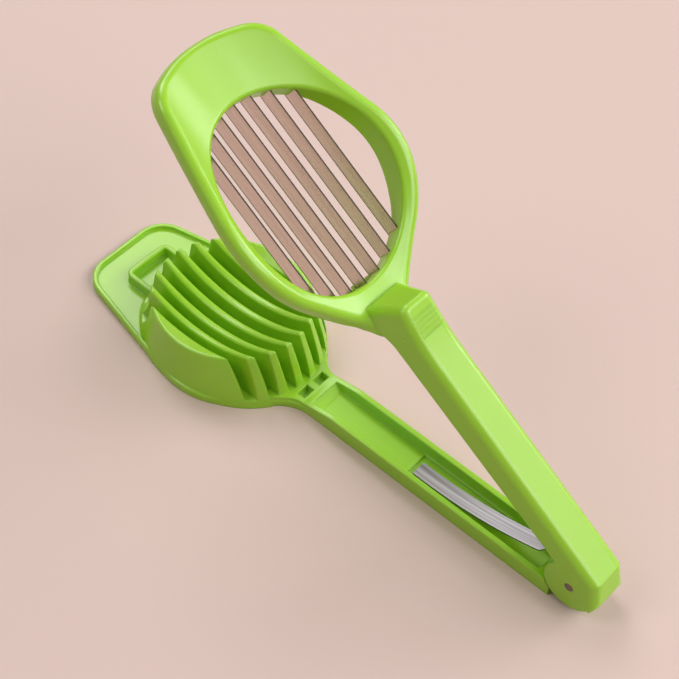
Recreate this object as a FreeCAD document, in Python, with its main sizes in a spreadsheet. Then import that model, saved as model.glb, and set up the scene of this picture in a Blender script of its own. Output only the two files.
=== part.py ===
import FreeCAD, Part
import math
import os
import Sketcher

# A hand-held egg slicer: a flat base with a finned egg cup, and a hinged frame that carries the blades.
# +X runs from the cup to the hinge, +Z is up, and the origin is on the table under the cup's middle.
# The frame and its blades are drawn closed and then turned up about the hinge pin by open_angle.

DRIVING_SIZES = {
    # hinge
    "pin_x": 140.0,
    "pin_z": 11.0,
    "pin_rad": 1.5,
    "pin_play": 0.05,
    "open_angle": 32.85,
    "ear_rad": 9.0,
    "ear_gap": 0.6,
    "tongue_rad": 6.2,
    "tongue_half": 4.4,
    "cheek_gap": 0.5,
    # base outline
    "tray_front": 52.5,
    "tray_half": 17.6,
    "tray_corner": 10.5,
    "tray_floor": 1.6,
    "tray_rim": 3.0,
    "rim_wall": 1.5,
    "rim_round": 0.7,
    "tray_rear": 4.0,
    "cup_corner_x": 9.2,
    "cup_corner_y": 31.2,
    "cup_round": 27.0,
    "neck_x": 33.5,
    "neck_round": 14.0,
    "neck_top": 4.0,
    "neck_front": 24.5,
    "neck_half": 15.4,
    # finned cup
    "cup_top": 23.0,
    "seat_x": -4.0,
    "seat_low": 11.1,
    "seat_bend": 50.0,
    "seat_sweep": 50.0,
    "seat_reach": 36.0,
    "fin_round": 0.85,
    "slot_floor": 3.4,
    "slot_base": 3.0,
    "slot_mouth": 4.8,
    "slot_front": 37.0,
    "slot_rear": 33.0,
    # stop box in the tray
    "box_front": 41.5,
    "box_half": 9.4,
    "box_wall": 1.8,
    "box_top": 5.5,
    "box_corner": 2.8,
    "box_round": 0.6,
    # neck sockets and the lugs that drop into them
    "socket_front": 32.1,
    "socket_rear": 35.2,
    "socket_in": 1.2,
    "socket_out": 5.9,
    "socket_floor": 1.4,
    "lug_play": 0.5,
    "closed_rise": 3.4,
    # lower handle
    "grip_half": 7.6,
    "grip_wall": 1.8,
    "grip_top": 6.3,
    "grip_front": 36.0,
    "grip_rear": 134.0,
    "ramp_rear": 47.0,
    "ramp_round": 14.0,
    "trough_front": 38.5,
    "trough_rear": 128.0,
    "trough_floor": 3.0,
    "spring_bay_front": 76.0,
    "spring_bay_half": 3.2,
    "spring_bay_floor": 1.0,
    # blades
    "blade_pitch": 6.0,
    "blade_tall": 6.4,
    "blade_thick": 0.5,
    "blade_edge": 0.8,
    "blade_low": 3.4,
    "blade_hold": 1.6,
    # blade frame
    "frame_front": 50.4,
    "flap_flat": 7.5,
    "flap_bow": 40.0,
    "frame_side": 45.4,
    "frame_half": 22.4,
    "frame_corner": 12.0,
    "ring_corner_x": 13.7,
    "ring_corner_y": 38.1,
    "ring_round": 36.0,
    "yoke_x": 44.5,
    "yoke_round": 12.0,
    "yoke_rear": 51.8,
    "yoke_low": 7.8,
    "yoke_cut": 37.2,
    "yoke_end": 43.4,
    "under_start": 50.0,
    "hole_x": 1.7,
    "hole_long": 31.8,
    "hole_wide": 28.6,
    "dish_rad": 54.0,
    "dish_top": 11.75,
    "dish_low": 4.65,
    "lip_round": 1.3,
    "brim_round": 2.2,
    "hem_round": 2.0,
    "hole_hem": 0.5,
    # upper handle
    "step_x": 38.8,
    "step_z": 14.2,
    "brow_x": 44.2,
    "brow_z": 25.6,
    "brow_round": 2.0,
    "back_x": 58.5,
    "back_z": 22.6,
    "tail_x": 143.5,
    "tail_z": 20.6,
    "tail_end": 149.6,
    "tail_low": 14.5,
    "under_z": 12.4,
    "under_round": 1.5,
    "top_half": 6.4,
    "arm_wall": 2.2,
    "arm_edge": 3.0,
    "line_first": 48.2,
    "line_step": 1.5,
    "line_wide": 0.5,
    "line_deep": 0.3,
    "pip_x": 50.7,
    "pip_z": 19.1,
    "pip_rad": 0.85,
    # nose that works the spring
    "nose_front": 124.5,
    "nose_rear": 127.5,
    "nose_half": 2.3,
    "nose_low": 5.0,
    # leaf spring
    "leaf_front": 77.6,
    "leaf_rear": 126.8,
    "leaf_half": 2.7,
    "leaf_thick": 0.6,
    "leaf_low": 1.2,
    "leaf_mid": 2.9,
    "leaf_high": 9.8,
    "leaf_clip": 1.4,
}

BLADE_COUNT = 7
SLOT_COUNT = 7
LINE_COUNT = 5

# Oval sections of the cup from its foot to its crest: height, front reach, rear reach, half width
CUP_SECTIONS = [
    ("cup_foot", 0.0, 35.0, 32.0, 28.3),
    ("cup_heel", 3.5, 32.4, 31.2, 27.9),
    ("cup_belly", 8.0, 30.2, 30.0, 27.0),
    ("cup_flank", 13.0, 29.4, 28.2, 26.1),
    ("cup_shoulder", 18.0, 28.8, 26.1, 24.9),
    ("cup_crest", 23.0, 27.8, 24.0, 23.2),
]

doc = FreeCAD.newDocument("egg_slicer")
sheet = doc.addObject("Spreadsheet::Sheet", "sizes")


def write_sheet():
    cells = dict(DRIVING_SIZES)
    for name, height, front, rear, half in CUP_SECTIONS:
        cells[name + "_z"] = height
        cells[name + "_front"] = front
        cells[name + "_rear"] = rear
        cells[name + "_half"] = half
    for row, (alias, value) in enumerate(cells.items(), 1):
        sheet.set(f"A{row}", alias)
        sheet.set(f"B{row}", str(value))
        sheet.setAlias(f"B{row}", alias)
    doc.recompute()


class Size:
    """A number that remembers the sheet expression it came from."""

    def __init__(self, value, text):
        self.value = value
        self.text = text

    def __add__(self, other):
        other = as_size(other)
        return Size(self.value + other.value, f"({self.text} + {other.text})")

    def __sub__(self, other):
        other = as_size(other)
        return Size(self.value - other.value, f"({self.text} - {other.text})")

    def __mul__(self, factor):
        return Size(self.value * factor, f"({self.text} * {factor})")

    def __neg__(self):
        return Size(-self.value, f"(-1 * {self.text})")


def as_size(number):
    if isinstance(number, Size):
        return number
    return Size(float(number), repr(float(number)))


def cell(alias):
    return Size(float(sheet.get(alias)), f"sizes.{alias}")


def oval_reach(y, long_half, wide_half):
    """Half length of an oval at distance y from its long axis."""
    value = long_half.value * math.sqrt(1 - (y.value / wide_half.value) ** 2)
    text = f"{long_half.text} * sqrt(1 - ({y.text} / {wide_half.text})^2)"
    return Size(value, f"({text})")


def dish_rise(y):
    """How much higher the dished frame stands at distance y from its middle line."""
    radius = cell("dish_rad")
    value = radius.value - math.sqrt(radius.value**2 - y.value**2)
    return Size(value, f"({radius.text} - sqrt({radius.text}^2 - {y.text}^2))")


def new_body(label):
    body = doc.addObject("PartDesign::Body", label)
    body.Label = label
    return body


def new_sketch(body, name, role, offset=None):
    sketch = body.newObject("Sketcher::SketchObject", name)
    plane = next(f for f in body.Origin.OriginFeatures if f.Role == role)
    sketch.AttachmentSupport = [(plane, "")]
    sketch.MapMode = "FlatFace"
    if offset is not None:
        sketch.AttachmentOffset = FreeCAD.Placement(FreeCAD.Vector(0, 0, offset.value), FreeCAD.Rotation())
        sketch.setExpression(".AttachmentOffset.Base.z", offset.text)
    return sketch


def bind(sketch, constraint, size):
    index = sketch.addConstraint(constraint)
    sketch.setExpression(f"Constraints[{index}]", size.text)


def pin_point(sketch, geo, pos, x, y):
    x = as_size(x)
    y = as_size(y)
    if x.value == 0:
        sketch.addConstraint(Sketcher.Constraint("PointOnObject", geo, pos, -2))
    else:
        bind(sketch, Sketcher.Constraint("DistanceX", -1, 1, geo, pos, x.value), x)
    if y.value == 0:
        sketch.addConstraint(Sketcher.Constraint("PointOnObject", geo, pos, -1))
    else:
        bind(sketch, Sketcher.Constraint("DistanceY", -1, 1, geo, pos, y.value), y)


def outline(sketch, corners):
    """Closed outline of straight sides; a corner is (x, y), or (x, y, radius) where it is rounded."""
    points = [FreeCAD.Vector(as_size(c[0]).value, as_size(c[1]).value, 0) for c in corners]
    count = len(points)
    arrive = []
    leave = []
    arcs = []
    for i, corner in enumerate(corners):
        here = points[i]
        back = (points[i - 1] - here).normalize()
        ahead = (points[(i + 1) % count] - here).normalize()
        if len(corner) < 3:
            arrive.append(here)
            leave.append(here)
            arcs.append(None)
            continue
        radius = corner[2].value
        half_angle = back.getAngle(ahead) / 2
        tangent = radius / math.tan(half_angle)
        centre = here + (back + ahead).normalize() * (radius / math.sin(half_angle))
        arrive.append(here + back * tangent)
        leave.append(here + ahead * tangent)
        middle = centre + (here - centre).normalize() * radius
        arcs.append(Part.Arc(arrive[i], middle, leave[i]))
    sides = [
        sketch.addGeometry(Part.LineSegment(leave[i], arrive[(i + 1) % count]), False) for i in range(count)
    ]
    for i, corner in enumerate(corners):
        before = sides[i - 1]
        after = sides[i]
        if arcs[i] is None:
            sketch.addConstraint(Sketcher.Constraint("Coincident", before, 2, after, 1))
            pin_point(sketch, after, 1, corner[0], corner[1])
            continue
        arc = sketch.addGeometry(arcs[i], False)
        first, last = (1, 2) if sketch.getPoint(arc, 1).isEqual(arrive[i], 1e-6) else (2, 1)
        sketch.addConstraint(Sketcher.Constraint("Tangent", before, 2, arc, first))
        sketch.addConstraint(Sketcher.Constraint("Tangent", arc, last, after, 1))
        bind(sketch, Sketcher.Constraint("Radius", arc, corner[2].value), corner[2])
        tip = sketch.addGeometry(Part.Point(points[i]), True)
        sketch.addConstraint(Sketcher.Constraint("PointOnObject", tip, 1, before))
        sketch.addConstraint(Sketcher.Constraint("PointOnObject", tip, 1, after))
        pin_point(sketch, tip, 1, corner[0], corner[1])


def mirrored(half):
    """Both sides of an outline, from the corners on its +Y side."""
    return half + [(c[0], -c[1], *c[2:]) for c in reversed(half)]


def rectangle(sketch, x_low, x_high, y_low, y_high):
    outline(sketch, [(x_low, y_low), (x_high, y_low), (x_high, y_high), (x_low, y_high)])


def circle(sketch, x, y, radius):
    place = FreeCAD.Vector(x.value, y.value, 0)
    geo = sketch.addGeometry(Part.Circle(place, FreeCAD.Vector(0, 0, 1), radius.value), False)
    pin_point(sketch, geo, 3, x, y)
    bind(sketch, Sketcher.Constraint("Radius", geo, radius.value), radius)


def oval(sketch, x, long_half, wide_half):
    centre = FreeCAD.Vector(x.value, 0, 0)
    tip = centre + FreeCAD.Vector(long_half.value, 0, 0)
    side = centre + FreeCAD.Vector(0, wide_half.value, 0)
    geo = sketch.addGeometry(Part.Ellipse(tip, side, centre), False)
    sketch.exposeInternalGeometry(geo)
    long_axis = geo + 1
    wide_axis = geo + 2
    sketch.addConstraint(Sketcher.Constraint("Horizontal", long_axis))
    bind(sketch, Sketcher.Constraint("Distance", long_axis, 2 * long_half.value), long_half * 2)
    bind(sketch, Sketcher.Constraint("Distance", wide_axis, 2 * wide_half.value), wide_half * 2)
    pin_point(sketch, geo, 3, x, 0)


def bow(sketch, left, right, low, high, radius):
    """Region between a level line and the bottom of an arc that sags to low at its middle."""
    middle = (left + right) * 0.5
    centre = FreeCAD.Vector(middle.value, low.value + radius.value, 0)
    rise = radius.value - math.sqrt(radius.value**2 - (right.value - middle.value) ** 2)
    ends = [FreeCAD.Vector(x.value, low.value + rise, 0) for x in (left, right)]
    arc_low = FreeCAD.Vector(middle.value, low.value, 0)
    arc = sketch.addGeometry(Part.Arc(ends[0], arc_low, ends[1]), False)
    corners = [FreeCAD.Vector(x.value, high.value, 0) for x in (left, right)]
    up = sketch.addGeometry(Part.LineSegment(ends[1], corners[1]), False)
    across = sketch.addGeometry(Part.LineSegment(corners[1], corners[0]), False)
    down = sketch.addGeometry(Part.LineSegment(corners[0], ends[0]), False)
    first, last = (1, 2) if sketch.getPoint(arc, 1).isEqual(ends[0], 1e-6) else (2, 1)
    sketch.addConstraint(Sketcher.Constraint("Coincident", arc, last, up, 1))
    sketch.addConstraint(Sketcher.Constraint("Coincident", up, 2, across, 1))
    sketch.addConstraint(Sketcher.Constraint("Coincident", across, 2, down, 1))
    sketch.addConstraint(Sketcher.Constraint("Coincident", down, 2, arc, first))
    sketch.addConstraint(Sketcher.Constraint("Vertical", up))
    sketch.addConstraint(Sketcher.Constraint("Vertical", down))
    pin_point(sketch, across, 1, right, high)
    pin_point(sketch, across, 2, left, high)
    bind(sketch, Sketcher.Constraint("Radius", arc, radius.value), radius)
    pin_point(sketch, arc, 3, middle, low + radius)


def extrude(body, kind, name, sketch, length, symmetric=False, back=False):
    before = body.Shape.Volume if body.Tip else 0.0
    feature = body.newObject(f"PartDesign::{kind}", name)
    feature.Profile = sketch
    feature.Refine = False
    feature.SideType = "Symmetric" if symmetric else "One side"
    feature.Reversed = back
    feature.Length = length.value
    feature.setExpression("Length", length.text)
    doc.recompute()
    change = body.Shape.Volume - before
    assert change > 0 if kind == "Pad" else change < 0, f"{name} leaves the body unchanged"
    return feature


def round_edges(body, name, radius, chosen):
    names = [f"Edge{n}" for n, edge in enumerate(body.Shape.Edges, 1) if chosen(edge)]
    assert names, f"{name} finds no edge"
    solid = body.Tip
    feature = body.newObject("PartDesign::Fillet", name)
    feature.Base = (solid, names)
    feature.Radius = radius.value
    feature.setExpression("Radius", radius.text)
    doc.recompute()


def edge_points(edge):
    start = edge.FirstParameter
    span = edge.LastParameter - start
    return [edge.valueAt(start + span * k / 4) for k in range(5)]


def open_up(item):
    """Turn a piece that is drawn closed up about the hinge pin."""
    x = cell("pin_x")
    z = cell("pin_z")
    turn = FreeCAD.Rotation(FreeCAD.Vector(0, 1, 0), cell("open_angle").value)
    item.Placement = FreeCAD.Placement(FreeCAD.Vector(), turn, FreeCAD.Vector(x.value, 0, z.value))
    angle = "sizes.open_angle * 1deg"
    item.setExpression(".Placement.Base.x", f"{x.text} - {x.text} * cos({angle}) - {z.text} * sin({angle})")
    item.setExpression(".Placement.Base.z", f"{z.text} + {x.text} * sin({angle}) - {z.text} * cos({angle})")
    item.setExpression(".Placement.Rotation.Angle", angle)


def base_corners():
    """The base's plan on its +Y side: tray corner, the cup's side, the neck and the grip's end."""
    return [
        (-cell("tray_front"), cell("tray_half"), cell("tray_corner")),
        (cell("cup_corner_x"), cell("cup_corner_y"), cell("cup_round")),
        (cell("neck_x"), cell("grip_half"), cell("neck_round")),
        (cell("grip_rear"), cell("grip_half")),
    ]


def make_tray(body):
    sketch = new_sketch(body, "base_plan", "XY_Plane")
    outline(sketch, mirrored(base_corners()))
    extrude(body, "Pad", "base_plate", sketch, cell("tray_rim"))
    rim = cell("tray_rim").value
    end = cell("grip_rear").value - 1

    def rim_edge(edge):
        points = edge_points(edge)
        return points[2].x < end and all(abs(p.z - rim) < 0.01 for p in points)

    round_edges(body, "rim_edge", cell("rim_round"), rim_edge)
    wall = cell("rim_wall")
    sketch = new_sketch(body, "tray_plan", "XY_Plane", cell("tray_rim"))
    half = [
        (-cell("tray_front") + wall, cell("tray_half") - wall, cell("tray_corner") - wall),
        (-cell("tray_rear"), cell("cup_foot_half") - wall * 0.6),
    ]
    outline(sketch, mirrored(half))
    extrude(body, "Pocket", "tray_hollow", sketch, cell("tray_rim") - cell("tray_floor"))


def make_stop_box(body):
    """A low open box that stands on the tray in front of the fins."""
    wall = cell("box_wall")
    front = -cell("box_front")
    rear = -cell("cup_crest_front")
    half = cell("box_half")
    corner = cell("box_corner")
    sketch = new_sketch(body, "box_plan", "XY_Plane", cell("tray_floor"))
    outline(
        sketch,
        [
            (front, half, corner),
            (rear, half),
            (rear, half - wall),
            (front + wall, half - wall, corner - wall),
            (front + wall, wall - half, corner - wall),
            (rear, wall - half),
            (rear, -half),
            (front, -half, corner),
        ],
    )
    extrude(body, "Pad", "stop_box", sketch, cell("box_top") - cell("tray_floor"))
    top = cell("box_top").value
    end = rear.value - 0.5

    def box_edge(edge):
        points = edge_points(edge)
        return points[2].x < end and all(abs(p.z - top) < 0.01 for p in points)

    round_edges(body, "box_edge", cell("box_round"), box_edge)


def make_cup(body):
    sections = []
    for name, *_ in CUP_SECTIONS:
        front = cell(name + "_front")
        rear = cell(name + "_rear")
        height = cell(name + "_z")
        sketch = new_sketch(body, name, "XY_Plane", height if height.value else None)
        oval(sketch, (rear - front) * 0.5, (front + rear) * 0.5, cell(name + "_half"))
        sections.append(sketch)
    doc.recompute()
    loft = body.newObject("PartDesign::AdditiveLoft", "cup_block")
    loft.Profile = sections[0]
    loft.Sections = sections[1:]
    doc.recompute()
    make_seat(body)
    make_slots(body)


def make_seat(body):
    """The egg's hollow: an arc swept round an axis that runs lengthwise above the cup."""
    axis_z = cell("seat_low") + cell("seat_sweep")
    sketch = body.newObject("Sketcher::SketchObject", "seat_arc")
    plane = next(f for f in body.Origin.OriginFeatures if f.Role == "XZ_Plane")
    sketch.AttachmentSupport = [(plane, "")]
    sketch.MapMode = "FlatFace"
    sketch.AttachmentOffset = FreeCAD.Placement(FreeCAD.Vector(0, axis_z.value, 0), FreeCAD.Rotation())
    sketch.setExpression(".AttachmentOffset.Base.y", axis_z.text)
    reach = cell("seat_reach")
    middle = cell("seat_x")
    sweep = cell("seat_sweep")
    bow(sketch, middle - reach, middle + reach, -sweep, sweep * -0.5, cell("seat_bend"))
    doc.recompute()
    groove = body.newObject("PartDesign::Groove", "seat_hollow")
    groove.Profile = sketch
    groove.ReferenceAxis = (sketch, ["H_Axis"])
    groove.Midplane = True
    groove.Angle = 180
    doc.recompute()


def make_slots(body):
    base = cell("slot_base") * 0.5
    mouth = cell("slot_mouth") * 0.5
    floor = cell("slot_floor")
    top = cell("cup_top") + cell("seat_low")
    for number in range(1, SLOT_COUNT + 1):
        y = cell("blade_pitch") * (number - (SLOT_COUNT + 1) / 2)
        sketch = new_sketch(body, f"slot_{number}_section", "YZ_Plane", cell("slot_rear"))
        outline(sketch, [(y - base, floor), (y + base, floor), (y + mouth, top), (y - mouth, top)])
        extrude(body, "Pocket", f"slot_{number}", sketch, cell("slot_front") + cell("slot_rear"))
    bend = cell("seat_bend").value
    sweep = cell("seat_sweep").value
    middle = cell("seat_x").value
    axis_z = cell("seat_low").value + sweep

    def fin_top(edge):
        points = edge_points(edge)
        reach = [math.hypot(p.x - middle, math.hypot(p.y, p.z - axis_z) - sweep + bend) for p in points]
        return all(abs(r - bend) < 0.01 for r in reach)

    round_edges(body, "fin_tops", cell("fin_round"), fin_top)


def make_grip(body):
    """The lower handle: a shallow trough with a deeper bay for the leaf spring."""
    half = cell("grip_half")
    top = cell("grip_top")
    low = cell("neck_top")
    front = cell("grip_front")
    rear = cell("grip_rear")
    sketch = new_sketch(body, "neck_plan", "XY_Plane")
    ramp = cell("trough_front")
    half_plan = [
        (cell("neck_front"), cell("neck_half")),
        (cell("neck_x"), half, cell("neck_round") * 0.5),
        (ramp, half),
    ]
    outline(sketch, mirrored(half_plan))
    extrude(body, "Pad", "neck", sketch, low)
    sketch = new_sketch(body, "grip_side", "XZ_Plane")
    crest = (cell("ramp_rear"), top, cell("ramp_round"))
    outline(sketch, [(front, 0), (rear, 0), (rear, top), crest, (front, low)])
    extrude(body, "Pad", "grip", sketch, half * 2, symmetric=True)
    floor = cell("trough_floor")
    sketch = new_sketch(body, "trough_side", "XZ_Plane")
    over = top + top
    end = cell("trough_rear")
    outline(sketch, [(ramp, over), (ramp, low), (ramp + floor, floor), (end, floor), (end, over)])
    extrude(body, "Pocket", "trough", sketch, (half - cell("grip_wall")) * 2, symmetric=True)
    sketch = new_sketch(body, "bay_side", "XZ_Plane")
    end = end + cell("ear_gap")
    rectangle(sketch, cell("spring_bay_front"), end, cell("spring_bay_floor"), over)
    extrude(body, "Pocket", "spring_bay", sketch, cell("spring_bay_half") * 2, symmetric=True)
    for side, name in ((1, "far"), (-1, "near")):
        sketch = new_sketch(body, f"{name}_socket_plan", "XY_Plane", low)
        inner = cell("socket_in") * side
        outer = cell("socket_out") * side
        low_y, high_y = (inner, outer) if side > 0 else (outer, inner)
        rectangle(sketch, cell("socket_front"), cell("socket_rear"), low_y, high_y)
        extrude(body, "Pocket", f"{name}_socket", sketch, low - cell("socket_floor"))


def make_hinge_tongue(body):
    """Room for the frame's round ears, and the tongue between them that the pin passes through."""
    x = cell("pin_x")
    z = cell("pin_z")
    sketch = new_sketch(body, "ear_room_side", "XZ_Plane")
    circle(sketch, x, z, cell("ear_rad") + cell("ear_gap"))
    extrude(body, "Pocket", "ear_room", sketch, cell("grip_half") * 4, symmetric=True)
    radius = cell("tongue_rad")
    width = cell("tongue_half") * 2
    front = cell("trough_rear") + cell("leaf_clip")
    sketch = new_sketch(body, "tongue_side", "XZ_Plane")
    corners = [
        (front, 0),
        (x + radius * 0.5, 0),
        (x + radius, z - radius * 0.5),
        (x + radius, z + radius, radius * 0.99),
        (x - radius, z + radius, radius * 0.99),
        (x - radius, z - radius * 0.5),
        (front, cell("trough_floor")),
    ]
    outline(sketch, corners)
    extrude(body, "Pad", "tongue", sketch, width, symmetric=True)
    sketch = new_sketch(body, "pin_hole_side", "XZ_Plane")
    circle(sketch, x, z, cell("pin_rad") + cell("pin_play"))
    extrude(body, "Pocket", "pin_hole", sketch, width * 2, symmetric=True)


def make_base():
    body = new_body("base_body")
    make_tray(body)
    make_stop_box(body)
    make_cup(body)
    make_grip(body)
    make_hinge_tongue(body)
    return body


def make_ring():
    """Flap, ring and yoke in one dished plate with an oval hole."""
    body = new_body("ring_form")
    sketch = new_sketch(body, "frame_plan", "XY_Plane")
    half = [
        (-cell("frame_front"), cell("flap_flat"), cell("flap_bow")),
        (-cell("frame_side"), cell("frame_half"), cell("frame_corner")),
        (cell("ring_corner_x"), cell("ring_corner_y"), cell("ring_round")),
        (cell("yoke_x"), cell("grip_half"), cell("yoke_round")),
        (cell("yoke_rear"), cell("grip_half")),
    ]
    outline(sketch, mirrored(half))
    wide = cell("ring_corner_y")
    extrude(body, "Pad", "frame_plate", sketch, wide)
    length = (cell("frame_front") + cell("yoke_rear")) * 2
    sketch = new_sketch(body, "dish_section", "YZ_Plane")
    bow(sketch, -wide, wide, cell("dish_top"), wide * 2, cell("dish_rad"))
    extrude(body, "Pocket", "dish_face", sketch, length, symmetric=True)
    sketch = new_sketch(body, "belly_section", "YZ_Plane")
    bow(sketch, -wide, wide, cell("dish_low"), -wide, cell("dish_rad"))
    extrude(body, "Pocket", "belly_face", sketch, length, symmetric=True)
    sketch = new_sketch(body, "hole_plan", "XY_Plane", wide)
    oval(sketch, cell("hole_x"), cell("hole_long"), cell("hole_wide"))
    extrude(body, "Pocket", "egg_hole", sketch, wide * 2)

    def on_dish(height):
        def test(edge):
            points = edge_points(edge)
            return all(abs(p.z - height.value - dish_rise(as_size(p.y)).value) < 0.02 for p in points)

        return test

    yoke = cell("yoke_rear").value - 0.1

    def on_dish_edge(height):
        touches = on_dish(height)
        return lambda edge: touches(edge) and all(p.x < yoke for p in edge_points(edge)[1:4])

    middle = cell("hole_x").value
    long_half = cell("hole_long").value
    wide_half = cell("hole_wide").value

    def at_hole(edge):
        point = edge_points(edge)[1]
        return math.hypot((point.x - middle) / long_half, point.y / wide_half) < 1.02

    top_edge = on_dish_edge(cell("dish_top"))
    round_edges(body, "lip_edge", cell("lip_round"), lambda e: top_edge(e) and at_hole(e))
    round_edges(body, "brim_edge", cell("brim_round"), lambda e: top_edge(e) and not at_hole(e))
    low_edge = on_dish_edge(cell("dish_low"))
    round_edges(body, "hole_hem_edge", cell("hole_hem"), lambda e: low_edge(e) and at_hole(e))
    round_edges(body, "hem_edge", cell("hem_round"), lambda e: low_edge(e) and not at_hole(e))
    sketch = new_sketch(body, "yoke_side", "XZ_Plane")
    end = cell("yoke_rear") * 2
    corners = [
        (cell("yoke_cut"), -wide),
        (end, -wide),
        (end, cell("under_z")),
        (cell("under_start"), cell("under_z")),
        (cell("yoke_end"), cell("yoke_low")),
        (cell("yoke_cut"), cell("yoke_low")),
    ]
    outline(sketch, corners)
    extrude(body, "Pocket", "yoke_clearance", sketch, wide * 2, symmetric=True)
    for number in range(1, BLADE_COUNT + 1):
        blade_strip(body, "Pocket", f"blade_seat_{number}", number)
    return body


def make_arm():
    """The upper handle: a hollow arm with a raised brow at the ring and two round ears at the hinge."""
    body = new_body("arm_form")
    pin_x = cell("pin_x")
    pin_z = cell("pin_z")
    width = cell("grip_half") * 2
    sketch = new_sketch(body, "arm_side", "XZ_Plane")
    corners = [
        (cell("step_x"), cell("yoke_low")),
        (cell("yoke_end"), cell("yoke_low")),
        (cell("under_start"), cell("under_z"), cell("under_z")),
        (pin_x, cell("under_z")),
        (cell("tail_end"), pin_z),
        (cell("tail_end"), cell("tail_low")),
        (cell("tail_x"), cell("tail_z")),
        (cell("back_x"), cell("back_z"), cell("back_x")),
        (cell("brow_x"), cell("brow_z"), cell("brow_round")),
        (cell("step_x"), cell("step_z")),
    ]
    outline(sketch, corners)
    extrude(body, "Pad", "arm", sketch, width, symmetric=True)
    under = cell("under_z").value

    def under_edge(edge):
        points = edge_points(edge)
        long_edge = abs(points[4].x - points[0].x) > pin_x.value / 2
        return long_edge and all(abs(p.z - under) < 0.01 for p in points)

    round_edges(body, "under_edge", cell("under_round"), under_edge)
    sketch = new_sketch(body, "ears_side", "XZ_Plane")
    circle(sketch, pin_x, pin_z, cell("ear_rad"))
    extrude(body, "Pad", "ears", sketch, width, symmetric=True)
    low = cell("under_z")
    slope = cell("top_half")
    high = cell("brow_z") + low
    lean = (cell("grip_half") - slope) * ((high.value - low.value) / (cell("back_z").value - low.value))
    for side, name in ((1, "far"), (-1, "near")):
        sketch = new_sketch(body, f"{name}_cheek_section", "YZ_Plane", cell("tail_end") * 2)
        edge = cell("grip_half") * side
        corners = [(edge, low), (edge - lean * side, high), (edge * 2, high), (edge * 2, low)]
        outline(sketch, corners)
        extrude(body, "Pocket", f"{name}_cheek", sketch, cell("tail_end") * 4)
    top = low.value + 2

    def crown(edge):
        points = edge_points(edge)
        lengthwise = abs(points[4].x - points[0].x) > 0.5
        return lengthwise and all(p.z > top and abs(p.y) > 2 for p in points)

    round_edges(body, "crown_edge", cell("arm_edge"), crown)
    fall = (cell("brow_z").value - cell("back_z").value) / (cell("back_x").value - cell("brow_x").value)
    for number in range(LINE_COUNT):
        x = cell("line_first") + cell("line_step") * number
        top = cell("brow_z") - (x - cell("brow_x")) * fall
        sketch = new_sketch(body, f"grip_line_{number + 1}_side", "XZ_Plane")
        rectangle(sketch, x, x + cell("line_wide"), top - cell("line_deep"), top + cell("line_step"))
        extrude(body, "Pocket", f"grip_line_{number + 1}", sketch, width, symmetric=True)
    wall = cell("arm_wall")
    room = cell("tongue_half") + cell("cheek_gap")
    sketch = new_sketch(body, "hollow_side", "XZ_Plane")
    below = pin_z - cell("ear_rad") * 2
    rear = cell("tail_end") - wall * 0.8
    corners = [
        (cell("yoke_rear"), below),
        (cell("yoke_rear"), cell("back_z") - wall),
        (cell("back_x"), cell("back_z") - wall),
        (cell("tail_x"), cell("tail_z") - wall),
        (rear, cell("tail_low") - wall * 0.5),
        (rear, pin_z),
        (cell("tail_end") * 2, pin_z),
        (cell("tail_end") * 2, below),
    ]
    outline(sketch, corners)
    extrude(body, "Pocket", "hollow", sketch, room * 2, symmetric=True)
    sketch = new_sketch(body, "nose_side", "XZ_Plane")
    rectangle(sketch, cell("nose_front"), cell("nose_rear"), cell("nose_low"), cell("tail_z") - wall * 0.5)
    extrude(body, "Pad", "nose", sketch, cell("nose_half") * 2, symmetric=True)
    sketch = new_sketch(body, "pin_seat_side", "XZ_Plane")
    circle(sketch, pin_x, pin_z, cell("pin_rad"))
    extrude(body, "Pocket", "pin_seats", sketch, width * 2, symmetric=True)
    return body


def make_lug(side, name):
    """A lug under the yoke that drops into a neck socket."""
    play = cell("lug_play")
    lug = doc.addObject("Part::Box", name)
    inner = cell("socket_in") + play
    outer = cell("socket_out") - play
    low = cell("socket_floor") + play - cell("closed_rise")
    x = cell("socket_front") + play
    sizes = {
        "Length": cell("socket_rear") - play - x,
        "Width": outer - inner,
        "Height": cell("dish_low") + cell("blade_edge") - low,
    }
    for name, size in sizes.items():
        setattr(lug, name, size.value)
        lug.setExpression(name, size.text)
    y = inner if side > 0 else -outer
    lug.Placement.Base = FreeCAD.Vector(x.value, y.value, low.value)
    return lug


def make_pip():
    """A small round moulding mark on the near side of the brow."""
    pip = doc.addObject("Part::Sphere", "pip")
    radius = cell("pip_rad")
    pip.Radius = radius.value
    pip.setExpression("Radius", radius.text)
    place = {"x": cell("pip_x"), "y": -cell("top_half"), "z": cell("pip_z")}
    pip.Placement.Base = FreeCAD.Vector(*(size.value for size in place.values()))
    for axis, size in place.items():
        pip.setExpression(f".Placement.Base.{axis}", size.text)
    return pip


def blade_strip(body, kind, name, number):
    """One blade's straight strip, sharpened below: its solid, or the seat it leaves in the ring."""
    thick = cell("blade_thick") * 0.5
    y = cell("blade_pitch") * (number - (BLADE_COUNT + 1) / 2)
    low = cell("blade_low") + dish_rise(y)
    edge = low + cell("blade_edge")
    high = low + cell("blade_tall")
    reach = oval_reach(y, cell("hole_long"), cell("hole_wide")) + cell("blade_hold")
    start = cell("hole_x") - reach if kind == "Pad" else cell("hole_x") + reach
    sketch = new_sketch(body, f"{name}_section", "YZ_Plane", start)
    outline(sketch, [(y, low), (y + thick, edge), (y + thick, high), (y - thick, high), (y - thick, edge)])
    extrude(body, kind, name, sketch, reach * 2)


def make_blades():
    blades = []
    for number in range(1, BLADE_COUNT + 1):
        body = new_body(f"blade_{number}")
        blade_strip(body, "Pad", f"strip_{number}", number)
        open_up(body)
        blades.append(body)
    return blades


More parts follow.
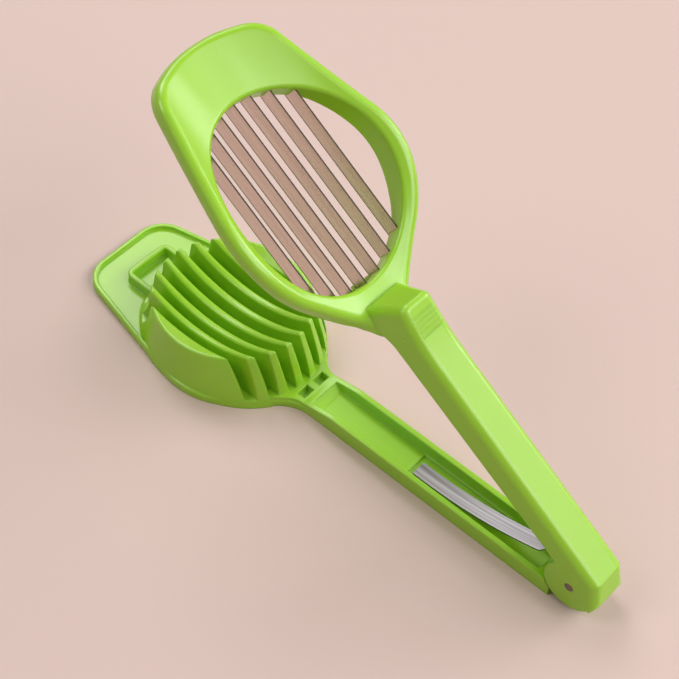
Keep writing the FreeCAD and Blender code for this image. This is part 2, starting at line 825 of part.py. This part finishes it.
def make_frame():
    """The blade frame: ring, arm, lugs and pip in one moulding."""
    frame = doc.addObject("Part::MultiFuse", "cutter_frame")
    frame.Label = "cutter_frame"
    frame.Shapes = [make_ring(), make_arm(), make_lug(1, "far_lug"), make_lug(-1, "near_lug"), make_pip()]
    open_up(frame)
    return frame


def make_pin():
    pin = doc.addObject("Part::Cylinder", "hinge_pin")
    pin.Label = "hinge_pin"
    radius = cell("pin_rad")
    length = cell("grip_half") * 2
    pin.Radius = radius.value
    pin.setExpression("Radius", radius.text)
    pin.Height = length.value
    pin.setExpression("Height", length.text)
    x = cell("pin_x").value
    z = cell("pin_z").value
    sideways = FreeCAD.Rotation(FreeCAD.Vector(1, 0, 0), -90)
    pin.Placement = FreeCAD.Placement(FreeCAD.Vector(x, -length.value / 2, z), sideways)
    return pin


def make_spring():
    """One bowed steel strip: its front end lies in the bay, and its clipped rear end stands free."""
    body = new_body("leaf_spring")
    sketch = new_sketch(body, "leaf_side", "XZ_Plane")
    front = cell("leaf_front").value
    rear = cell("leaf_rear").value
    middle = (front + rear) / 2
    thick = cell("leaf_thick").value
    heights = [cell(alias).value for alias in ("leaf_low", "leaf_mid", "leaf_high")]
    under = [FreeCAD.Vector(x, z, 0) for x, z in zip((front, middle, rear), heights)]
    over = [point + FreeCAD.Vector(0, thick, 0) for point in under]
    sketch.addGeometry(Part.Arc(*under), False)
    sketch.addGeometry(Part.Arc(*over), False)
    sketch.addGeometry(Part.LineSegment(under[0], over[0]), False)
    sketch.addGeometry(Part.LineSegment(under[2], over[2]), False)
    extrude(body, "Pad", "leaf", sketch, cell("leaf_half") * 2, symmetric=True)
    end = rear - 0.2

    def rear_corner(edge):
        points = edge_points(edge)
        return all(p.x > end for p in points) and abs(points[4].z - points[0].z) > 0.1

    names = [f"Edge{n}" for n, edge in enumerate(body.Shape.Edges, 1) if rear_corner(edge)]
    strip = body.Tip
    clip = body.newObject("PartDesign::Chamfer", "clipped_corners")
    clip.Base = (strip, names)
    clip.Size = cell("leaf_clip").value
    clip.setExpression("Size", cell("leaf_clip").text)
    doc.recompute()
    return body


def check_document():
    for item in doc.Objects:
        failed = {"Invalid", "Error"} & set(item.State)
        assert not failed, f"{item.Label}: {item.State}"


write_sheet()
base = make_base()
blades = make_blades()
pieces = [base, make_frame(), *blades, make_pin(), make_spring()]
doc.recompute()
check_document()
os.makedirs("parts", exist_ok=True)
for piece in pieces:
    shape = piece.Shape
    assert not shape.isNull() and shape.isValid() and len(shape.Solids) == 1, piece.Label
    print(piece.Label, round(shape.Volume, 1), shape.BoundBox)
    shape.exportStep(f"parts/{piece.Label}.step")
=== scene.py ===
import math

import bmesh
import bpy
from mathutils import Matrix, Vector


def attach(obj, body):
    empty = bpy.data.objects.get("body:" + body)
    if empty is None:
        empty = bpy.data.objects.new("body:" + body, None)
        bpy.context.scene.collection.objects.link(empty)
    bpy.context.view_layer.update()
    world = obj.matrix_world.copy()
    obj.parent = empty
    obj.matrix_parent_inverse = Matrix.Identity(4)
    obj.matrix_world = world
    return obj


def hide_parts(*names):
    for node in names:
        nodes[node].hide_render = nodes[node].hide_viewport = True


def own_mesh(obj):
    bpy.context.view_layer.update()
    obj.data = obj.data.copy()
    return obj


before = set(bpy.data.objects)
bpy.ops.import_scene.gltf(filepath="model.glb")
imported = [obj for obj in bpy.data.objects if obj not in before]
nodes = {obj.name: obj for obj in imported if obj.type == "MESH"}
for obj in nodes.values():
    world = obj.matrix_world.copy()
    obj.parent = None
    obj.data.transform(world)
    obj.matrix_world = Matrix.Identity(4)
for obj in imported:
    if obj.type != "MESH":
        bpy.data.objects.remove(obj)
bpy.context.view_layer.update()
print("frame loaded:", len(nodes), "nodes")

mm = 0.001
mergeDistance = 0.001 * mm
nearEnough = 0.02  # mm, for finding a face by its height or width


def hexToLinear(text):
    values = [int(text[i : i + 2], 16) / 255 for i in (1, 3, 5)]
    linear = [v / 12.92 if v <= 0.04045 else ((v + 0.055) / 1.055) ** 2.4 for v in values]
    return (*linear, 1.0)


def addNode(tree, kind, settings=None, links=None):
    node = tree.nodes.new(kind)
    for name, value in (settings or {}).items():
        if hasattr(node, name):
            setattr(node, name, value)
        else:
            node.inputs[name].default_value = value
    for name, source in (links or {}).items():
        tree.links.new(source, node.inputs[name])
    return node


def newMaterial(name):
    material = bpy.data.materials.new(name)
    material.use_nodes = True
    material.node_tree.nodes.clear()
    return material, material.node_tree


def setRamp(node, stops):
    for element, (position, colour) in zip(node.color_ramp.elements, stops):
        element.position = position
        element.color = colour
    return node


plasticLook = {
    "colour": "#9ED32A",
    "deepColour": "#98CD27",
    "roughness": (0.19, 0.26),
    "ior": 1.55,
    "edge": 0.8,  # mm, softness of the moulding's edges
    "edgeSamples": 6,
    "glow": 0.35,  # light that comes back out of the plastic
    "glowColour": (0.45, 1.0, 0.15),
    "glowDepth": 2.0,  # mm
    "cloudSize": 28.0,  # mm
    "cloudDetail": 2.0,
    "skinSize": 1.6,  # mm, coarser than real so that it shows
    "skinDetail": 1.0,
    "skinDepth": 0.02,  # mm
    "skinStrength": 0.25,
}


# Injection-moulded ABS: an even lime colour with a soft gloss, a very faint orange-peel skin and a slight inner glow
def makePlastic(look):
    material, tree = newMaterial("mouldedAbsLime")
    place = addNode(tree, "ShaderNodeTexCoord").outputs["Object"]
    cloud = addNode(
        tree,
        "ShaderNodeTexNoise",
        {"Scale": 1 / (look["cloudSize"] * mm), "Detail": look["cloudDetail"]},
        {"Vector": place},
    )
    colour = setRamp(
        addNode(tree, "ShaderNodeValToRGB", links={"Fac": cloud.outputs["Fac"]}),
        [(0.0, hexToLinear(look["deepColour"])), (1.0, hexToLinear(look["colour"]))],
    )
    low, high = look["roughness"]
    gloss = addNode(
        tree,
        "ShaderNodeMapRange",
        {"From Min": 0.0, "From Max": 1.0, "To Min": low, "To Max": high},
        {"Value": cloud.outputs["Fac"]},
    )
    skin = addNode(
        tree,
        "ShaderNodeTexNoise",
        {"Scale": 1 / (look["skinSize"] * mm), "Detail": look["skinDetail"]},
        {"Vector": place},
    )
    edge = addNode(tree, "ShaderNodeBevel", {"samples": look["edgeSamples"], "Radius": look["edge"] * mm})
    bump = addNode(
        tree,
        "ShaderNodeBump",
        {"Strength": look["skinStrength"], "Distance": look["skinDepth"] * mm},
        {"Height": skin.outputs["Fac"], "Normal": edge.outputs["Normal"]},
    )
    shader = addNode(
        tree,
        "ShaderNodeBsdfPrincipled",
        {
            "IOR": look["ior"],
            "Subsurface Weight": look["glow"],
            "Subsurface Radius": look["glowColour"],
            "Subsurface Scale": look["glowDepth"] * mm,
        },
        {
            "Base Color": colour.outputs["Color"],
            "Roughness": gloss.outputs["Result"],
            "Normal": bump.outputs["Normal"],
        },
    )
    addNode(tree, "ShaderNodeOutputMaterial", links={"Surface": shader.outputs["BSDF"]})
    return material


bladeLook = {
    "name": "brushedBladeSteel",
    "bright": "#E9D8CB",
    "dark": "#D3C2B5",
    "roughness": (0.24, 0.36),
    "tilt": 32.85,  # degrees, with the open frame
    "grain": (40.0, 0.35, 0.35),  # mm along x, y and z, coarser than real so that the scratches show
    "paintedEdgeShade": 0.04,  # painted shade: the edge faces are made nearly black so that they don't show the lamps' reflection
}
springLook = {
    "name": "rolledSpringSteel",
    "bright": "#A8A8AC",
    "dark": "#5A5A5E",
    "roughness": (0.4, 0.5),
    "tilt": 0.0,
    "grain": (60.0, 0.9, 500.0),  # mm, the lines follow the bow
    "paintedEdgeShade": 1.0,
}
pinLook = {
    "name": "turnedPinSteel",
    "bright": "#8F8074",
    "dark": "#6A5C51",
    "roughness": (0.34, 0.46),
    "tilt": 0.0,
    "grain": (0.5, 4.0, 0.5),  # mm
    "paintedEdgeShade": 1.0,
}
grainLook = {
    "detail": 3.0,
    "spread": (0.3, 0.7),  # the part of the noise that is used
    "depth": 0.01,  # mm
    "strength": 0.3,
    "edgeFrom": (0.1, 0.2),  # how far a face turns from the strip's side before it counts as its edge and takes the painted shade
}


# Stainless steel, brushed, rolled or turned: metal whose fine lines run one way and spread its reflections, with a
# painted shade on the edge faces where the look asks for one
def makeSteel(look, grain):
    material, tree = newMaterial(look["name"])
    tilt = math.radians(look["tilt"])
    turned = addNode(
        tree,
        "ShaderNodeMapping",
        {"Rotation": (0.0, -tilt, 0.0)},
        {"Vector": addNode(tree, "ShaderNodeTexCoord").outputs["Object"]},
    )
    scaled = addNode(
        tree,
        "ShaderNodeMapping",
        {"Scale": [1 / (size * mm) for size in look["grain"]]},
        {"Vector": turned.outputs["Vector"]},
    )
    lines = addNode(
        tree,
        "ShaderNodeTexNoise",
        {"Scale": 1.0, "Detail": grain["detail"]},
        {"Vector": scaled.outputs["Vector"]},
    )
    least, most = grain["spread"]
    colour = setRamp(
        addNode(tree, "ShaderNodeValToRGB", links={"Fac": lines.outputs["Fac"]}),
        [(least, hexToLinear(look["dark"])), (most, hexToLinear(look["bright"]))],
    )
    # painted shade: faces that turn away from the strip's sides, its edges, have their colour multiplied by the
    # look's edge shade value
    facing = addNode(
        tree,
        "ShaderNodeVectorMath",
        {"operation": "DOT_PRODUCT"},
        {0: addNode(tree, "ShaderNodeNewGeometry").outputs["True Normal"]},
    )
    facing.inputs[1].default_value = (math.sin(tilt), 0.0, math.cos(tilt))
    turn = addNode(tree, "ShaderNodeMath", {"operation": "ABSOLUTE"}, {0: facing.outputs["Value"]})
    side, rim = grain["edgeFrom"]
    shade = addNode(
        tree,
        "ShaderNodeMapRange",
        {"From Min": side, "From Max": rim, "To Min": 1.0, "To Max": look["paintedEdgeShade"]},
        {"Value": turn.outputs["Value"]},
    )
    tone = addNode(
        tree,
        "ShaderNodeMix",
        {"data_type": "RGBA", "blend_type": "MULTIPLY", "Factor": 1.0},
        {6: colour.outputs["Color"], 7: shade.outputs["Result"]},  # the two colour sockets
    )
    low, high = look["roughness"]
    gloss = addNode(
        tree,
        "ShaderNodeMapRange",
        {"From Min": least, "From Max": most, "To Min": low, "To Max": high},
        {"Value": lines.outputs["Fac"]},
    )
    bump = addNode(
        tree,
        "ShaderNodeBump",
        {"Strength": grain["strength"], "Distance": grain["depth"] * mm},
        {"Height": lines.outputs["Fac"]},
    )
    shader = addNode(
        tree,
        "ShaderNodeBsdfPrincipled",
        {"Metallic": 1.0},
        {
            "Base Color": tone.outputs[2],
            "Roughness": gloss.outputs["Result"],
            "Normal": bump.outputs["Normal"],
        },
    )
    addNode(tree, "ShaderNodeOutputMaterial", links={"Surface": shader.outputs["BSDF"]})
    return material


plastic = makePlastic(plasticLook)
bladeSteel = makeSteel(bladeLook, grainLook)
springSteel = makeSteel(springLook, grainLook)
pinSteel = makeSteel(pinLook, grainLook)
print("materials made")


def dress(node, material):
    mesh = nodes[node].data
    mesh.materials.clear()
    mesh.materials.append(material)


for name in nodes:
    if name.startswith("blade_"):
        dress(name, bladeSteel)
dress("hinge_pin", pinSteel)
print("blades and pin dressed")


# A node's mesh with its loose triangles joined, which still knows the smooth shading of each corner
def mergedCopy(node):
    source = nodes[node].data
    shape = bmesh.new()
    shape.from_mesh(source)
    shading = shape.loops.layers.float_vector.new("shading")
    for face, polygon in zip(shape.faces, source.polygons):
        for loop, corner in zip(face.loops, polygon.loop_indices):
            loop[shading] = source.corner_normals[corner].vector
    bmesh.ops.remove_doubles(shape, verts=shape.verts, dist=mergeDistance)
    return shape


def makePiece(name, shape, body, material, node):
    mesh = bpy.data.meshes.new(name)
    shape.to_mesh(mesh)
    shape.free()
    normals = [item.vector[:] for item in mesh.attributes["shading"].data]
    mesh.normals_split_custom_set(normals)
    mesh.attributes.remove(mesh.attributes["shading"])
    mesh.materials.append(material)
    piece = bpy.data.objects.new(name, mesh)
    bpy.context.scene.collection.objects.link(piece)
    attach(piece, body)
    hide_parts(node)
    return piece


troughShape = {
    "from": 38.0,  # mm along the handle
    "to": 128.7,
    "half": 5.9,  # mm, half the trough's width
    "floor": (3.0, 1.9),  # mm, the plain height and the height seen
    "bayHalf": (3.2, 5.0),  # mm, the spring's bay is nearly as wide as the trough
}


# The base with the deep trough and wide spring bay that the lower handle shows
def makeBase(look):
    shape = mergedCopy("base_body")
    plainFloor, floor = look["floor"]
    plainHalf, half = look["bayHalf"]
    for vert in shape.verts:
        x, y, z = vert.co / mm
        if not (look["from"] < x < look["to"] and abs(y) < look["half"]):
            continue
        if abs(z - plainFloor) < nearEnough:
            vert.co.z = floor * mm
        if abs(abs(y) - plainHalf) < nearEnough:
            vert.co.y = math.copysign(half * mm, y)
    makePiece("baseMoulding", shape, "base", plastic, "base_body")


makeBase(troughShape)

collarShape = {
    "hinge": (140.0, 11.0),  # mm, x and z
    "open": 32.85,  # degrees
    "hole": (1.7, 31.8, 28.6),  # mm, middle, half length and half width
    "belly": (4.65, 54.0),  # mm, lowest height and radius of the ring's underside
    "hem": (1.032, 2.0),  # how far out, in hole sizes, and how far up in mm the hole's lower edge goes
    "side": (19.0, 28.0),  # mm from the middle, outside the blades
    "depth": 2.5,  # mm added at the sides
}


# The frame with the deep inner wall that the hole shows at its far side
def makeFrame(look):
    shape = mergedCopy("cutter_frame")
    hinge = Vector((look["hinge"][0], 0.0, look["hinge"][1])) * mm
    lift = Matrix.Rotation(math.radians(look["open"]), 3, "Y")
    middle, longHalf, wideHalf = look["hole"]
    low, radius = look["belly"]
    out, up = look["hem"]
    start, end = look["side"]
    for vert in shape.verts:
        x, y, z = (lift.transposed() @ (vert.co - hinge) + hinge) / mm  # as drawn, with the frame shut
        if math.hypot((x - middle) / longHalf, y / wideHalf) > out or abs(y) < start:
            continue
        if z - low - radius + math.sqrt(radius**2 - y**2) > up:
            continue
        share = min((abs(y) - start) / (end - start), 1.0)
        ease = share**2 * (3 - 2 * share)
        vert.co += lift @ Vector((0.0, 0.0, -look["depth"] * ease * mm))
    makePiece("frameMoulding", shape, "cutter", plastic, "cutter_frame")


makeFrame(collarShape)


def makeSpring():
    shape = mergedCopy("leaf_spring")
    piece = makePiece("springStrip", shape, "base", springSteel, "leaf_spring")
    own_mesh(piece)


makeSpring()
print("base, frame and spring made")

floorLook = {
    "size": 4.0,  # m
    "colour": "#D9BFB6",
    "roughness": 0.6,
    "fade": (0.4, 1.2),  # m from the object, where the board runs out into the backdrop
    "backdrop": "#E8D3CA",
}


def seenDirectly(tree):
    path = addNode(tree, "ShaderNodeLightPath").outputs
    direct = addNode(
        tree,
        "ShaderNodeMath",
        {"operation": "MAXIMUM"},
        {0: path["Is Camera Ray"], 1: path["Is Glossy Ray"]},
    )
    seen = addNode(
        tree,
        "ShaderNodeMath",
        {"operation": "MAXIMUM"},
        {0: direct.outputs["Value"], 1: path["Is Transmission Ray"]},
    )
    return seen.outputs["Value"]


# Matt painted board: an even pale tone that takes a soft shadow and runs out into the backdrop
def makeFloor(look):
    material, tree = newMaterial("paintedBoard")
    shader = addNode(
        tree,
        "ShaderNodeBsdfPrincipled",
        {"Base Color": hexToLinear(look["colour"]), "Roughness": look["roughness"]},
    )
    backdrop = addNode(tree, "ShaderNodeEmission", {"Color": hexToLinear(look["backdrop"]), "Strength": 1.0})
    away = addNode(
        tree,
        "ShaderNodeVectorMath",
        {"operation": "LENGTH"},
        {0: addNode(tree, "ShaderNodeTexCoord").outputs["Object"]},
    )
    near, far = look["fade"]
    fade = addNode(
        tree,
        "ShaderNodeMapRange",
        {"interpolation_type": "SMOOTHSTEP", "From Min": near, "From Max": far},
        {"Value": away.outputs["Value"]},
    )
    share = addNode(
        tree,
        "ShaderNodeMath",
        {"operation": "MULTIPLY"},
        {0: fade.outputs["Result"], 1: seenDirectly(tree)},
    )
    mix = addNode(
        tree,
        "ShaderNodeMixShader",
        links={0: share.outputs["Value"], 1: shader.outputs["BSDF"], 2: backdrop.outputs["Emission"]},
    )
    addNode(tree, "ShaderNodeOutputMaterial", links={"Surface": mix.outputs["Shader"]})
    mesh = bpy.data.meshes.new("floor")
    shape = bmesh.new()
    bmesh.ops.create_grid(shape, x_segments=1, y_segments=1, size=look["size"] / 2)
    shape.to_mesh(mesh)
    shape.free()
    mesh.materials.append(material)
    floor = bpy.data.objects.new("floor", mesh)
    bpy.context.scene.collection.objects.link(floor)


makeFloor(floorLook)

lampAim = (0.04, 0.0, 0.04)  # m, about the middle of the object
lampSet = {  # all in metres and watts
    "window": {"from": (1.1, 1.02, 1.32), "size": 1.2, "power": 12.0},
    "lowWindow": {"from": (0.72, 1.68, 0.77), "size": 0.9, "power": 11.5},
    "farLeft": {"from": (-1.14, 0.6, 1.41), "size": 0.9, "power": 12.5},
    "nearLeft": {"from": (-0.82, -0.95, 1.45), "size": 0.9, "power": 8.5},
    "right": {"from": (1.41, 0.12, 1.42), "size": 1.2, "power": 17.0},
}
worldLight = {"colour": "#FFFFFF", "strength": 0.09, "seen": floorLook["backdrop"]}


def makeLamps(lamps):
    for name, lamp in lamps.items():
        light = bpy.data.lights.new(name, "AREA")
        light.energy = lamp["power"]
        light.size = lamp["size"]
        item = bpy.data.objects.new(name, light)
        aim = Vector(lampAim) - Vector(lamp["from"])
        turn = aim.to_track_quat("-Z", "Y").to_matrix().to_4x4()
        item.matrix_world = Matrix.Translation(lamp["from"]) @ turn
        bpy.context.scene.collection.objects.link(item)


# A faint even light, and the floor's backdrop wherever the surround itself is seen
def makeWorld(surround):
    world = bpy.data.worlds.new("studio")
    world.use_nodes = True
    tree = world.node_tree
    tree.nodes.clear()
    soft = addNode(
        tree,
        "ShaderNodeBackground",
        {"Color": hexToLinear(surround["colour"]), "Strength": surround["strength"]},
    )
    seen = addNode(tree, "ShaderNodeBackground", {"Color": hexToLinear(surround["seen"]), "Strength": 1.0})
    mix = addNode(
        tree,
        "ShaderNodeMixShader",
        links={0: seenDirectly(tree), 1: soft.outputs["Background"], 2: seen.outputs["Background"]},
    )
    addNode(tree, "ShaderNodeOutputWorld", links={"Surface": mix.outputs["Shader"]})
    bpy.context.scene.world = world


makeLamps(lampSet)
makeWorld(worldLight)
print("floor and lights placed")

photoView = {
    "eye": (253.5, -283.4, 478.9),  # mm
    "right": (0.7505, 0.6579, 0.0628),
    "up": (-0.5461, 0.5638, 0.6196),
    "focalPixels": 1870.0,
    "framePixels": 679.0,
    "sensor": 36.0,  # mm
    "clip": 0.01,  # m
}


def makeCamera(view):
    data = bpy.data.cameras.new("photoCamera")
    data.sensor_fit = "HORIZONTAL"
    data.sensor_width = view["sensor"]
    data.lens = view["focalPixels"] / view["framePixels"] * view["sensor"]
    data.clip_start = view["clip"]
    camera = bpy.data.objects.new("photoCamera", data)
    right = Vector(view["right"]).normalized()
    up = Vector(view["up"])
    up = (up - right * up.dot(right)).normalized()
    turn = Matrix((right, up, right.cross(up))).transposed().to_4x4()
    camera.matrix_world = Matrix.Translation(Vector(view["eye"]) * mm) @ turn
    bpy.context.scene.collection.objects.link(camera)
    bpy.context.scene.camera = camera


makeCamera(photoView)
bpy.context.scene.view_settings.view_transform = "Standard"
print("camera set")
